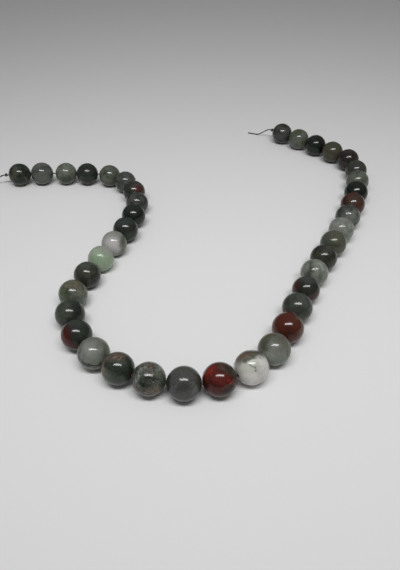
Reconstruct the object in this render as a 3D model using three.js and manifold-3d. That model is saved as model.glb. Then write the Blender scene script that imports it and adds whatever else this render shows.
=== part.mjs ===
// A strand of forty round bloodstone beads on a knotted nylon thread, laid open on a table in a wide curve.
// Millimetres, +Z up. The front bead is nearest the viewer at low Y, and both ends lead away towards +Y.

import * as THREE from 'three';
import { mergeVertices } from 'three/addons/utils/BufferGeometryUtils.js';
import Module from 'manifold-3d';

// Sizes of the beads. Most are the nominal size, and hand grinding leaves some a little larger or smaller.
const BEAD_COUNT = 40;
const BEAD_DIAMETER = 10.0;
const BORE_DIAMETER = 1.2;
const GROUND_LARGER = {
    16: 10.1, 17: 10.2, 18: 10.2, 19: 10.3, 20: 10.5, 21: 10.4, 22: 10.6,
    23: 10.4, 24: 10.4, 25: 10.3, 29: 10.1, 31: 10.1, 32: 10.1, 33: 10.1,
};
const GROUND_SMALLER = {
    3: 9.7, 4: 9.7, 5: 9.6, 6: 9.5, 7: 9.6, 8: 9.5,
    9: 9.7, 11: 9.8, 12: 9.7, 13: 9.7, 26: 9.7, 35: 9.8,
};

// Facets of a bead: the flats touch the true round surface, and one of them faces straight down. The rims
// of the bore lie on that surface too, so that neighbours can stand close together.
const BEAD_SIDES = 12;
const BEAD_BANDS = 7;

// Spacing along the thread. Beads slide on it, so the thread shows where two stand further apart than most.
const BEAD_GAP = 0.15;
const WIDER_GAP_AFTER = {
    2: 1.2, 4: 1.0, 9: 0.8, 11: 0.6, 12: 0.6, 13: 1.3, 14: 0.4, 15: 0.4, 16: 0.3,
    22: 0.3, 23: 0.4, 24: 0.4, 25: 0.5, 26: 0.4, 28: 0.5, 29: 0.5, 35: 0.8,
};

// Thread, knots and tails
const THREAD_DIAMETER = 0.6;
const THREAD_SIDES = 8;
const KNOT_DIAMETER = 2.0;
const KNOT_LENGTH = 1.8;
const KNOT_GAP = 0.3;
const KNOT_SIDES = 8;
const KNOT_BANDS = 6;
const TAIL_DROP = 9.0;
const TAIL_REST = 4.0;
const TAIL_CURL = 2.5;
const TAIL_STEPS = 8;
const TAIL_LIFT = 0.05;

// The line that the beads lie along, in points chosen by hand. The front bead is at its first zero.
const FRONT_BEAD = 20;
const LEFT_LINE = [
    [0, 0],
    [-11, 2],
    [-24, 8.5],
    [-35, 20.5],
    [-39, 31],
    [-39.5, 41],
    [-36, 52],
    [-31.5, 64],
    [-25.5, 80],
    [-23, 94],
    [-23.5, 105],
    [-27.5, 114],
    [-33, 121.5],
    [-42, 124.5],
    [-58, 125.5],
    [-72, 125],
    [-90, 123],
];
const RIGHT_LINE = [
    [0, 0],
    [10, 1.5],
    [21, 7],
    [29, 16],
    [37, 33],
    [46, 53],
    [57, 73],
    [66, 92],
    [72.5, 110],
    [76, 128],
    [74, 139.5],
    [67, 148],
    [60, 155],
    [51, 163],
    [39, 173],
];

// The kinds of stone in the strand: colour and roughness after polishing
const STONES = {
    dark_green: { color: 0x2f3833, roughness: 0.15 },
    slate: { color: 0x4d5356, roughness: 0.15 },
    grey_green: { color: 0x6a736a, roughness: 0.16 },
    olive: { color: 0x55564a, roughness: 0.18 },
    pale_green: { color: 0x93a58f, roughness: 0.14 },
    milky_quartz: { color: 0xc4c5c2, roughness: 0.14 },
    blood_red: { color: 0x64221c, roughness: 0.15 },
    maroon: { color: 0x4a2a28, roughness: 0.16 },
};
const STONE_ORDER = [
    'dark_green', 'grey_green', 'olive', 'dark_green', 'grey_green',
    'slate', 'maroon', 'slate', 'dark_green', 'dark_green',
    'milky_quartz', 'pale_green', 'dark_green', 'olive', 'slate',
    'dark_green', 'grey_green', 'dark_green', 'olive', 'slate',
    'blood_red', 'milky_quartz', 'grey_green', 'blood_red', 'slate',
    'maroon', 'grey_green', 'dark_green', 'olive', 'grey_green',
    'slate', 'maroon', 'dark_green', 'olive', 'slate',
    'dark_green', 'olive', 'dark_green', 'grey_green', 'slate',
];

// Halvings in the search for each bead's place, enough to find it to far less than a micrometre
const HALVINGS = 50;

const THREAD_FINISH = { color: 0x2b2b2d, roughness: 0.6 };

const wasm = await Module();
wasm.setup();

function beadDiameter(number) {
    return GROUND_LARGER[number] ?? GROUND_SMALLER[number] ?? BEAD_DIAMETER;
}

function gapAfter(number) {
    return WIDER_GAP_AFTER[number] ?? BEAD_GAP;
}

// Distance between the centres of a bead and the next one to its right
function centreDistance(number) {
    return (beadDiameter(number) + beadDiameter(number + 1)) / 2 + gapAfter(number);
}

// The next place on a line that is a given straight distance from a place already on it, found by halving
function stepAlong(curve, from, distance) {
    const start = curve.getPoint(from);
    let low = from;
    let high = 1;
    for (let i = 0; i < HALVINGS; i++) {
        const middle = (low + high) / 2;
        if (curve.getPoint(middle).distanceTo(start) < distance) {
            low = middle;
        } else {
            high = middle;
        }
    }
    return (low + high) / 2;
}

// Bead centres on the table plane, laid outwards from the front bead along both lines
function layBeads() {
    const centres = new Map([[FRONT_BEAD, new THREE.Vector3()]]);
    const sides = [
        { line: LEFT_LINE, step: -1 },
        { line: RIGHT_LINE, step: 1 },
    ];
    for (const { line, step } of sides) {
        const curve = new THREE.CatmullRomCurve3(line.map(([x, y]) => new THREE.Vector3(x, y, 0)));
        let place = 0;
        for (let n = FRONT_BEAD + step; n >= 1 && n <= BEAD_COUNT; n += step) {
            place = stepAlong(curve, place, centreDistance(Math.min(n, n - step)));
            centres.set(n, curve.getPoint(place));
        }
    }
    return centres;
}

// Each bead rests on the table with its bore along the line between its neighbours
function placeBeads() {
    const centres = layBeads();
    const beads = [];
    for (let n = 1; n <= BEAD_COUNT; n++) {
        const before = centres.get(Math.max(n - 1, 1));
        const after = centres.get(Math.min(n + 1, BEAD_COUNT));
        const radius = beadDiameter(n) / 2;
        beads.push({
            number: n,
            radius,
            centre: centres.get(n).clone().setZ(radius),
            along: after.clone().sub(before).normalize(),
        });
    }
    return beads;
}

// A faceted ball with a straight bore, turned about the X axis
function beadGeometry(radius) {
    const rimLatitude = Math.acos(BORE_DIAMETER / 2 / radius);
    const bandAngle = (2 * rimLatitude) / BEAD_BANDS;
    const axial = radius / Math.cos(bandAngle / 2);
    const radial = axial / Math.cos(Math.PI / BEAD_SIDES);
    const profile = [];
    for (let i = 0; i <= BEAD_BANDS; i++) {
        const latitude = -rimLatitude + i * bandAngle;
        const reach = i === 0 || i === BEAD_BANDS ? radius : axial;
        profile.push(new THREE.Vector2(radial * Math.cos(latitude), reach * Math.sin(latitude)));
    }
    profile.push(profile[0].clone());
    const geometry = new THREE.LatheGeometry(profile, BEAD_SIDES, Math.PI / BEAD_SIDES);
    return geometry.rotateZ(-Math.PI / 2);
}

// A path of straight pieces with one step for each piece
class StraightPieces extends THREE.Curve {
    constructor(points) {
        super();
        this.points = points;
    }

    getPoint(t, target = new THREE.Vector3()) {
        return target.copy(this.points[Math.round(t * (this.points.length - 1))]);
    }

    getPointAt(t, target) {
        return this.getPoint(t, target);
    }

    getTangentAt(t, target = new THREE.Vector3()) {
        const last = this.points.length - 1;
        const index = Math.round(t * last);
        const before = this.points[Math.max(index - 1, 0)];
        const after = this.points[Math.min(index + 1, last)];
        return target.subVectors(after, before).normalize();
    }
}

// A tail leaves its bead level, falls in an even curve to the table and lies there, curling to one side
function tailPoints(bead, outwards) {
    const points = [];
    const sideways = new THREE.Vector3(-outwards.y, outwards.x, 0);
    const restHeight = THREAD_DIAMETER / 2 + TAIL_LIFT;
    for (let i = 1; i <= TAIL_STEPS; i++) {
        const share = i / TAIL_STEPS;
        const reach = share * (TAIL_DROP + TAIL_REST);
        const fallen = Math.min(reach / TAIL_DROP, 1);
        const height = restHeight + (bead.radius - restHeight) * (0.5 + 0.5 * Math.cos(Math.PI * fallen));
        const point = bead.centre.clone().addScaledVector(outwards, bead.radius + KNOT_LENGTH + reach);
        point.addScaledVector(sideways, TAIL_CURL * share * share);
        points.push(point.setZ(height));
    }
    return points;
}

// The thread runs straight through each bore and bends between the beads
function threadRoute(beads) {
    const first = beads[0];
    const last = beads[BEAD_COUNT - 1];
    const route = tailPoints(first, first.along.clone().negate()).reverse();
    for (const bead of beads) {
        route.push(bead.centre.clone().addScaledVector(bead.along, -bead.radius));
        route.push(bead.centre.clone().addScaledVector(bead.along, bead.radius));
    }
    return route.concat(tailPoints(last, last.along));
}

function threadGeometry(route) {
    const section = new THREE.Shape();
    for (let i = 0; i < THREAD_SIDES; i++) {
        const angle = (i * 2 * Math.PI) / THREAD_SIDES;
        const x = (THREAD_DIAMETER / 2) * Math.cos(angle);
        const y = (THREAD_DIAMETER / 2) * Math.sin(angle);
        if (i === 0) {
            section.moveTo(x, y);
        } else {
            section.lineTo(x, y);
        }
    }
    section.closePath();
    return new THREE.ExtrudeGeometry(section, {
        extrudePath: new StraightPieces(route),
        steps: route.length - 1,
        curveSegments: 1,
    });
}

// A stopper knot sits on the thread just outside the bore of an end bead
function knotGeometry(bead, outwards) {
    const geometry = new THREE.SphereGeometry(KNOT_DIAMETER / 2, KNOT_SIDES, KNOT_BANDS);
    geometry.scale(1, KNOT_LENGTH / KNOT_DIAMETER, 1);
    const turn = new THREE.Quaternion().setFromUnitVectors(new THREE.Vector3(0, 1, 0), outwards);
    geometry.applyQuaternion(turn);
    const centre = bead.centre.clone().addScaledVector(outwards, bead.radius + KNOT_GAP + KNOT_LENGTH / 2);
    return geometry.translate(centre.x, centre.y, centre.z);
}

function toSolid(geometry) {
    const bare = geometry.index ? geometry.toNonIndexed() : geometry.clone();
    bare.deleteAttribute('normal');
    bare.deleteAttribute('uv');
    const merged = mergeVertices(bare);
    const mesh = new wasm.Mesh({
        numProp: 3,
        vertProperties: new Float32Array(merged.attributes.position.array),
        triVerts: new Uint32Array(merged.index.array),
    });
    return new wasm.Manifold(mesh);
}

function toGeometry(solid) {
    const mesh = solid.getMesh();
    const geometry = new THREE.BufferGeometry();
    geometry.setAttribute('position', new THREE.BufferAttribute(new Float32Array(mesh.vertProperties), 3));
    geometry.setIndex(new THREE.BufferAttribute(new Uint32Array(mesh.triVerts), 1));
    geometry.computeVertexNormals();
    return geometry;
}

function beadMesh(bead) {
    const stone = STONES[STONE_ORDER[bead.number - 1]];
    const material = new THREE.MeshStandardMaterial({ ...stone, metalness: 0 });
    const mesh = new THREE.Mesh(beadGeometry(bead.radius), material);
    mesh.name = `bead_${String(bead.number).padStart(2, '0')}`;
    mesh.position.copy(bead.centre);
    mesh.rotation.z = Math.atan2(bead.along.y, bead.along.x);
    return mesh;
}

function threadMesh(beads) {
    const first = beads[0];
    const last = beads[BEAD_COUNT - 1];
    const solid = toSolid(threadGeometry(threadRoute(beads)))
        .add(toSolid(knotGeometry(first, first.along.clone().negate())))
        .add(toSolid(knotGeometry(last, last.along)));
    const material = new THREE.MeshStandardMaterial({ ...THREAD_FINISH, metalness: 0 });
    const mesh = new THREE.Mesh(toGeometry(solid), material);
    mesh.name = 'thread';
    return mesh;
}

function buildStrand() {
    const beads = placeBeads();
    const strand = new THREE.Group();
    for (const bead of beads) {
        strand.add(beadMesh(bead));
    }
    strand.add(threadMesh(beads));

    // The origin is under the middle of the strand's box, on the table
    const middle = new THREE.Box3().setFromObject(strand, true).getCenter(new THREE.Vector3());
    strand.position.set(-middle.x, -middle.y, 0);
    return strand;
}

export default buildStrand();
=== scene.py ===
"""A strand of forty polished bloodstone beads on a knotted thread, laid in a wide curve on a pale table."""

import math
import random
from typing import NamedTuple

import bmesh
import bpy
from bpy.props import FloatProperty, FloatVectorProperty, IntProperty, PointerProperty
from bpy.types import NodeSocket, Operator, Panel, PropertyGroup
from mathutils import Matrix, Vector


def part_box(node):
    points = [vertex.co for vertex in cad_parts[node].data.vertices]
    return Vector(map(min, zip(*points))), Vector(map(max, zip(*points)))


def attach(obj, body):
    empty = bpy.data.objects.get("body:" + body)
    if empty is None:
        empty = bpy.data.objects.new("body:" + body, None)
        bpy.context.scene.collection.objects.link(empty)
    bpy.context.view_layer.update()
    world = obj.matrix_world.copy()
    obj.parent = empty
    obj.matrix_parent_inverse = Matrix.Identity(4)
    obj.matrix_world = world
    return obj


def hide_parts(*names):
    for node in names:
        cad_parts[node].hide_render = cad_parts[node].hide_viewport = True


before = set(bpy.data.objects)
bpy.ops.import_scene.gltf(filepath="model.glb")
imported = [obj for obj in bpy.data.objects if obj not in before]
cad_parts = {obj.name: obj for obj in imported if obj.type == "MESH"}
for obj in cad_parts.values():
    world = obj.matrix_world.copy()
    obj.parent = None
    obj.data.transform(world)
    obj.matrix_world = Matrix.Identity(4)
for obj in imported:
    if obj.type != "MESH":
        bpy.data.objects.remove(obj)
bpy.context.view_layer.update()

bl_info = {
    "name": "Bloodstone Bead Strand",
    "version": (1, 0, 0),
    "blender": (4, 5, 0),
    "location": "View3D > Sidebar > Strand",
    "description": "Drilled bloodstone beads on a twisted, knotted thread, with table, light and camera",
    "category": "Object",
}

MM = 0.001
BODY = "root"

BEAD_COUNT = 40
FRONT_BEAD = 20
NUMBERS = range(1, BEAD_COUNT + 1)
NOMINAL_RADIUS = 5.0 * MM

# Sockets of the Mix node for colours, which go by number because their names repeat
MIX_FACTOR = 0
MIX_A = 6
MIX_B = 7
MIX_RESULT = 2


def linear(hex_colour):
    """Turns an sRGB hex colour into the linear values that Blender's sockets hold."""
    values = []
    for start in (0, 2, 4):
        value = int(hex_colour[start:start + 2], 16) / 255
        values.append(value / 12.92 if value <= 0.04045 else ((value + 0.055) / 1.055) ** 2.4)
    return tuple(values)


def lit(colour, light=1.0):
    """A colour made lighter or darker, and opaque, as a node's socket takes it."""
    return (colour[0] * light, colour[1] * light, colour[2] * light, 1.0)


# Markings of the stone


class Patch(NamedTuple):
    """A patch of another tone on a bead. Its place is where it shows from the front, in bead radii from the
    middle, and it reaches width and height radii from there, turned in degrees."""

    tone: str
    across: float
    up: float
    width: float
    height: float
    turn: float = 0.0
    cover: float = 1.0
    softness: float = 0.5


class Stone(NamedTuple):
    """One bead's stone: its material slot, two main tones, patches and how much each marking shows."""

    slot: str
    body: str
    cloud: str
    patches: tuple = ()
    light: float = 1.0
    clouds: float = 1.0
    mottle: float = 0.55
    grain: float = 0.15
    glow: float = 0.1
    specks: str = ""
    seams: str = ""


def haze(tone, across, up, width, height, turn=0.0, cover=1.0):
    """A patch that fades out all the way from its middle."""
    return Patch(tone, across, up, width, height, turn, cover, softness=0.8)


STONES = {
    1: Stone("dark_green", "deep_green", "olive"),
    2: Stone("grey_green", "grey_green", "slate"),
    3: Stone("olive", "grey_green", "olive", (
        Patch("deep_green", -0.1, -0.6, 0.6, 0.4, cover=0.8),
    ), light=1.3),
    4: Stone("dark_green", "soot", "deep_green", light=1.75),
    5: Stone("grey_green", "grey_green", "olive", (
        Patch("deep_green", -0.4, 0.3, 0.3, 0.2, cover=0.6),
        Patch("slate", 0.5, -0.4, 0.4, 0.3, cover=0.7),
    ), mottle=0.7, grain=0.3),
    6: Stone("slate", "slate", "deep_green", light=1.32),
    7: Stone("maroon", "soot", "deep_green", (
        Patch("plum", 0.4, 0.35, 0.6, 0.5),
        Patch("maroon", 0.45, 0.2, 0.5, 0.4, cover=0.8),
    ), light=1.65),
    8: Stone("slate", "slate", "deep_green", light=1.05),
    9: Stone("dark_green", "black_green", "deep_green", (
        haze("deep_green", 0.0, 0.6, 0.9, 0.45, cover=0.6),
    ), light=1.2),
    10: Stone("dark_green", "deep_green", "soot", (
        # Painted reflection: a bluish haze over the top of this dark bead, where the room's light and the
        # glint show in the polish
        haze("painted_blue_reflection", -0.1, 0.65, 0.6, 0.3, cover=0.3),
    ), light=1.72),
    11: Stone("milky_quartz", "pale_grey", "sage", (
        haze("sage", 0.25, 0.8, 0.6, 0.3, cover=0.6),
        haze("lilac_grey", -0.15, -0.15, 0.6, 0.7, turn=10, cover=0.7),
        Patch("milk_white", -0.15, -0.1, 0.45, 0.4, cover=0.15, softness=0.9),
        Patch("olive", 0.8, 0.15, 0.3, 0.9, turn=-10, cover=0.85, softness=0.7),
        Patch("taupe", 0.5, -0.8, 0.35, 0.25, turn=20, cover=0.8, softness=0.7),
    ), light=1.27, clouds=0.4, grain=0.06, glow=0.7),
    12: Stone("pale_green", "pale_green", "sage", (
        Patch("pale_grey", 0.5, 0.65, 0.75, 0.5, turn=-30, cover=0.85, softness=0.7),
        haze("pale_grey", -0.75, 0.3, 0.3, 0.7, turn=-20, cover=0.4),
        Patch("moss", 0.3, -0.3, 0.4, 0.25, turn=20, cover=0.08, softness=0.7),
        Patch("milk_white", 0.2, -0.65, 0.7, 0.4, cover=0.1, softness=0.9),
    ), light=1.27, clouds=0.3, grain=0.06, glow=0.7),
    13: Stone("dark_green", "soot", "olive", (
        haze("moss_grey", 0.0, 0.8, 0.9, 0.35, cover=0.35),
    ), light=1.85, clouds=0.3),
    14: Stone("olive", "olive", "grey_green", (
        Patch("moss", -0.65, 0.1, 0.45, 0.8, cover=0.8, softness=0.7),
        Patch("taupe", 0.3, 0.55, 0.6, 0.4, cover=0.6, softness=0.7),
        haze("deep_green", -0.3, 0.1, 0.2, 0.4, turn=15, cover=0.6),
        Patch("slate", 0.2, -0.3, 0.5, 0.35, cover=0.4),
    ), light=1.5, mottle=0.65, grain=0.25, seams="deep_green"),
    15: Stone("slate", "moss_grey", "deep_green", (
        haze("black_green", 0.6, 0.15, 0.36, 0.8, turn=-10, cover=0.75),
        Patch("black_green", -0.2, -0.65, 0.7, 0.35, cover=0.7, softness=0.7),
        Patch("plum", 0.9, -0.1, 0.2, 0.5, cover=0.5),
    ), light=1.14, clouds=0.7),
    16: Stone("dark_green", "deep_green", "black_green", (
        haze("moss_grey", 0.1, 0.75, 0.8, 0.3, cover=0.6),
        # Painted reflection: a bluish haze round the glint of this dark bead
        haze("painted_blue_reflection", -0.15, 0.45, 0.4, 0.35, cover=0.4),
        Patch("maroon", -0.75, 0.0, 0.48, 1.0, turn=4),
        Patch("maroon", -0.4, -0.78, 0.6, 0.3, turn=-25, cover=0.85),
        haze("brick", -0.8, -0.1, 0.34, 0.75, turn=10, cover=0.5),
        haze("moss_grey", 0.45, -0.15, 0.5, 0.6, turn=10, cover=0.3),
    ), light=1.15),
    17: Stone("grey_green", "sage", "grey_green", (
        # Painted highlight: a paler lilac haze laid round the glint
        haze("lilac_grey", -0.2, 0.3, 0.5, 0.35, cover=0.25),
        haze("pale_grey", 0.0, -0.2, 0.5, 0.35, cover=0.2),
        Patch("grey_green", 0.45, 0.6, 0.6, 0.4, cover=0.3, softness=0.7),
        Patch("olive", 0.85, 0.15, 0.25, 0.6, turn=-20, cover=0.7),
        haze("moss_grey", -0.9, 0.0, 0.3, 0.9, cover=0.6),
        haze("moss_grey", -0.45, -0.62, 0.5, 0.22, turn=-32, cover=0.5),
        Patch("pale_grey", -0.74, -0.1, 0.08, 0.5, turn=-15, cover=0.4),
        haze("slate", 0.7, -0.35, 0.2, 0.45, turn=-35, cover=0.5),
        Patch("black_green", -0.42, -0.56, 0.42, 0.07, turn=-32, cover=0.9),
        Patch("deep_green", -0.35, -0.72, 0.3, 0.06, turn=-20, cover=0.9),
        Patch("deep_green", 0.25, -0.7, 0.38, 0.07, turn=14, cover=0.9),
        Patch("black_green", -0.12, -0.74, 0.16, 0.09, cover=0.9),
        Patch("taupe", 0.1, -0.86, 0.4, 0.06, cover=0.6),
        Patch("deep_green", -0.72, -0.38, 0.05, 0.3, turn=25, cover=0.5),
    ), light=1.16, clouds=0.8, mottle=0.65, glow=0.4),
    18: Stone("dark_green", "deep_green", "black_green", (
        Patch("moss_grey", -0.82, -0.15, 0.38, 0.75, turn=8, cover=0.85, softness=0.7),
        Patch("taupe", -0.85, 0.2, 0.2, 0.4, cover=0.6, softness=0.7),
        haze("moss_grey", 0.3, 0.3, 0.4, 0.2, turn=-20, cover=0.5),
        haze("moss_grey", -0.1, -0.78, 0.9, 0.35, cover=0.4),
        Patch("black_green", 0.75, 0.1, 0.25, 0.5, turn=12, cover=0.6, softness=0.7),
        Patch("taupe", -0.05, 0.84, 0.9, 0.34, turn=-4, cover=0.6, softness=0.6),
        Patch("plum", 0.15, 0.72, 0.5, 0.16, turn=8, cover=0.6),
        Patch("tan", 0.05, 0.7, 0.3, 0.04, turn=24, cover=0.45),
        Patch("tan", 0.28, 0.62, 0.24, 0.03, turn=38, cover=0.6),
        Patch("black_green", -0.62, 0.42, 0.14, 0.1, turn=30, cover=0.9),
        Patch("black_green", -0.5, 0.15, 0.05, 0.3, turn=20, cover=0.7),
        Patch("maroon", 0.72, -0.5, 0.2, 0.3, turn=35, cover=0.5),
    ), light=1.75, mottle=0.7, grain=0.35),
    19: Stone("olive", "slate", "olive", (
        Patch("taupe", 0.0, 0.75, 0.55, 0.2, cover=0.5),
        Patch("taupe", 0.0, -0.55, 0.5, 0.3, cover=0.4),
        Patch("deep_green", -0.05, -0.12, 0.55, 0.32, turn=-10, cover=0.8, softness=0.7),
        Patch("black_green", -0.3, -0.22, 0.2, 0.14, turn=-30, cover=0.9),
        Patch("black_green", -0.05, 0.08, 0.22, 0.08, turn=10, cover=0.8),
        Patch("black_green", 0.3, -0.02, 0.07, 0.16, turn=40, cover=0.8),
        Patch("grey_green", 0.22, -0.14, 0.12, 0.1, turn=30, cover=0.9),
        Patch("deep_green", -0.25, -0.5, 0.3, 0.14, turn=15, cover=0.8),
        Patch("sage", -0.6, 0.25, 0.42, 0.1, turn=60, cover=0.9),
        Patch("black_green", -0.74, 0.5, 0.28, 0.05, turn=50, cover=0.9),
        Patch("grey_green", -0.37, 0.62, 0.3, 0.1, turn=15, cover=0.8),
        Patch("rust", 0.24, 0.7, 0.1, 0.1, cover=0.9),
        Patch("taupe", 0.17, 0.42, 0.1, 0.25, turn=25, cover=0.9),
        Patch("slate", 0.62, 0.46, 0.3, 0.35, cover=0.7),
        Patch("sage", 0.68, 0.5, 0.16, 0.2, cover=0.5),
        Patch("moss", 0.7, 0.1, 0.2, 0.25, cover=0.5),
        Patch("rust", -0.7, -0.42, 0.17, 0.18, turn=30, cover=0.6),
        Patch("taupe", 0.25, -0.68, 0.5, 0.25, cover=0.6),
        Patch("deep_green", 0.72, -0.35, 0.12, 0.25, cover=0.4),
    ), light=1.7, clouds=0.6, mottle=0.75, grain=0.7, seams="black_green"),
    20: Stone("slate", "slate", "slate", (
        haze("olive", 0.0, 0.88, 0.8, 0.25, cover=0.25),
        haze("soot", -0.05, -0.16, 0.36, 0.3, cover=0.45),
        Patch("plum", 0.84, 0.0, 0.19, 0.6, turn=4, cover=0.85),
        Patch("soot", -0.88, 0.1, 0.11, 0.5, turn=-4, cover=0.7),
        Patch("plum", 0.5, 0.12, 0.16, 0.1, turn=10, cover=0.4),
        Patch("grey_green", 0.48, -0.03, 0.12, 0.14, turn=15, cover=0.45),
        Patch("grey_green", -0.42, -0.12, 0.05, 0.24, turn=-20, cover=0.4),
        Patch("grey_green", 0.58, -0.34, 0.08, 0.3, turn=-25, cover=0.4),
    ), light=1.14, mottle=0.7, grain=0.35),
    21: Stone("blood_red", "maroon", "brick", (
        Patch("blood_red", -0.55, 0.4, 0.5, 0.42, turn=35, cover=0.9),
        Patch("blood_red", 0.1, 0.02, 0.6, 0.3, turn=-8, cover=0.8),
        Patch("taupe", 0.42, 0.66, 0.62, 0.3, turn=-24, cover=0.6),
        Patch("soot", 0.6, 0.55, 0.5, 0.2, turn=-40, cover=0.6),
        Patch("soot", 0.66, -0.6, 0.5, 0.26, turn=35, cover=0.9),
        Patch("taupe", 0.42, -0.34, 0.36, 0.05, turn=32, cover=0.7),
        Patch("plum", 0.0, -0.88, 0.5, 0.14, turn=5, cover=0.4),
        Patch("brick", -0.3, -0.6, 0.55, 0.22, turn=5, cover=0.6),
        Patch("dark_maroon", -0.86, -0.25, 0.2, 0.5, turn=20, cover=0.65),
        Patch("bright_red", 0.5, -0.04, 0.18, 0.08, turn=10, cover=0.8),
        haze("bright_red", -0.6, 0.45, 0.34, 0.24, turn=40, cover=0.75),
    ), mottle=0.75, grain=0.55, specks="ochre"),
    22: Stone("milky_quartz", "milk_white", "pale_grey", (
        haze("pale_green", -0.7, -0.3, 0.3, 0.3, turn=40, cover=0.25),
        Patch("pale_green", 0.0, 0.1, 0.4, 0.3, cover=0.35, softness=0.9),
        Patch("olive", 0.1, 0.82, 0.85, 0.22, turn=7, cover=0.95, softness=0.7),
        Patch("taupe", -0.66, 0.5, 0.52, 0.38, turn=42, cover=0.9, softness=0.6),
        Patch("tan", -0.5, 0.62, 0.4, 0.18, turn=38, cover=0.8),
        Patch("taupe", -0.15, 0.85, 0.4, 0.12, turn=5, cover=0.7),
        Patch("olive", -0.3, 0.42, 0.4, 0.1, turn=33, cover=0.8),
        Patch("grey_green", -0.02, 0.12, 0.22, 0.03, turn=-14, cover=0.8),
        Patch("grey_green", 0.2, -0.02, 0.03, 0.14, turn=25, cover=0.6),
        Patch("deep_green", 0.24, -0.14, 0.08, 0.08, cover=0.95, softness=0.4),
    ), light=0.95, clouds=0.3, grain=0.05, glow=0.8),
    23: Stone("grey_green", "sage", "grey_green", (
        haze("pale_grey", 0.05, -0.25, 0.6, 0.4, cover=0.35),
        haze("taupe", 0.3, -0.05, 0.3, 0.2, turn=20, cover=0.3),
        haze("olive", 0.05, 0.74, 0.8, 0.28, cover=0.5),
        haze("olive", -0.76, 0.1, 0.36, 0.7, turn=-15, cover=0.85),
        haze("rust", -0.4, 0.8, 0.4, 0.12, turn=28, cover=0.6),
        haze("taupe", 0.5, 0.5, 0.4, 0.25, turn=-40, cover=0.45),
        Patch("black_green", -0.5, 0.2, 0.1, 0.3, turn=-20, cover=0.35),
        haze("pale_grey", -0.3, -0.38, 0.35, 0.25, turn=-40, cover=0.6),
        Patch("olive", 0.88, -0.1, 0.2, 0.6, cover=0.4),
    ), light=1.1, clouds=0.5, grain=0.2, glow=0.5),
    24: Stone("blood_red", "brick", "rust", (
        haze("dark_maroon", 0.25, -0.15, 0.5, 0.4, cover=0.6),
        haze("rust", 0.6, 0.3, 0.35, 0.5, turn=-20, cover=0.4),
        Patch("taupe", 0.62, 0.66, 0.5, 0.16, turn=-42, cover=0.8),
        haze("taupe", 0.85, -0.3, 0.2, 0.6, turn=-20, cover=0.6),
        haze("brick", -0.55, 0.3, 0.4, 0.5, cover=0.4),
        haze("blood_red", 0.5, -0.05, 0.25, 0.25, cover=0.35),
    ), clouds=0.7, mottle=0.75, grain=0.25),
    25: Stone("slate", "moss_grey", "soot", (
        haze("slate", 0.5, 0.5, 0.5, 0.4, turn=-30, cover=0.5),
        Patch("maroon", -0.7, -0.35, 0.25, 0.2, cover=0.7),
    ), light=1.2, clouds=0.6),
    26: Stone("maroon", "soot", "black_green", (
        Patch("maroon", -0.85, 0.12, 0.3, 0.6, cover=0.75, softness=0.9),
        Patch("maroon", 0.62, -0.5, 0.24, 0.42, turn=-30, cover=0.95, softness=0.7),
        haze("slate", 0.0, 0.75, 0.7, 0.25, cover=0.3),
    ), light=1.95),
    27: Stone("grey_green", "sage", "pale_grey", (
        haze("deep_green", -0.28, 0.2, 0.15, 0.8, turn=4, cover=0.75),
        haze("pale_grey", 0.35, 0.6, 0.4, 0.3, cover=0.3),
        haze("slate", -0.45, -0.3, 0.35, 0.3, cover=0.6),
        haze("grey_green", 0.5, -0.1, 0.2, 0.5, turn=-15, cover=0.7),
        haze("moss", 0.42, -0.25, 0.1, 0.6, turn=8, cover=0.4),
        haze("milk_white", 0.5, 0.5, 0.3, 0.1, turn=-45, cover=0.18),
    ), light=1.07, clouds=0.7, mottle=0.65, grain=0.12, glow=0.4),
    28: Stone("dark_green", "soot", "olive", (
        haze("slate", 0.2, 0.7, 0.6, 0.35, cover=0.3),
    ), light=1.35, clouds=0.35),
    29: Stone("olive", "moss_grey", "olive", (
        Patch("moss", -0.25, -0.1, 0.3, 0.22, cover=0.6, softness=0.7),
        haze("taupe", 0.45, -0.35, 0.5, 0.45, cover=0.3),
        haze("taupe", 0.0, 0.7, 0.6, 0.3, cover=0.3),
        haze("soot", 0.05, -0.15, 0.5, 0.12, cover=0.5),
    ), light=1.23),
    30: Stone("grey_green", "pale_grey", "sage", grain=0.08, glow=0.5),
    31: Stone("slate", "sage", "slate", (
        Patch("deep_green", -0.65, 0.0, 0.35, 0.8, cover=0.7, softness=0.7),
        haze("deep_green", -0.1, 0.85, 0.6, 0.3, cover=0.7),
        haze("pale_grey", 0.15, -0.05, 0.5, 0.4, cover=0.5),
        haze("moss", 0.75, -0.2, 0.25, 0.4, cover=0.5),
    ), light=0.82),
    32: Stone("maroon", "rust", "brick", (
        haze("taupe", -0.1, 0.05, 0.6, 0.5, cover=0.6),
        haze("slate", 0.3, 0.6, 0.6, 0.3, cover=0.3),
        haze("dark_maroon", -0.75, -0.1, 0.3, 0.6, cover=0.5),
    ), light=0.76, clouds=0.7),
    33: Stone("dark_green", "black_green", "deep_green", light=0.95),
    34: Stone("olive", "grey_green", "olive", light=0.95),
    35: Stone("slate", "slate", "olive", light=0.64),
    36: Stone("dark_green", "soot", "plum"),
    37: Stone("olive", "olive", "taupe", light=0.8),
    38: Stone("dark_green", "black_green", "deep_green"),
    39: Stone("grey_green", "grey_green", "olive"),
    40: Stone("slate", "slate", "deep_green"),
}


# Settings in the sidebar


def stone_colour(name, hex_colour, words):
    """One colour of the stone, which a user can change in the sidebar."""
    return FloatVectorProperty(
        name=name, description=words, default=linear(hex_colour), min=0.0, max=1.0, size=3, subtype="COLOR",
    )


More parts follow.
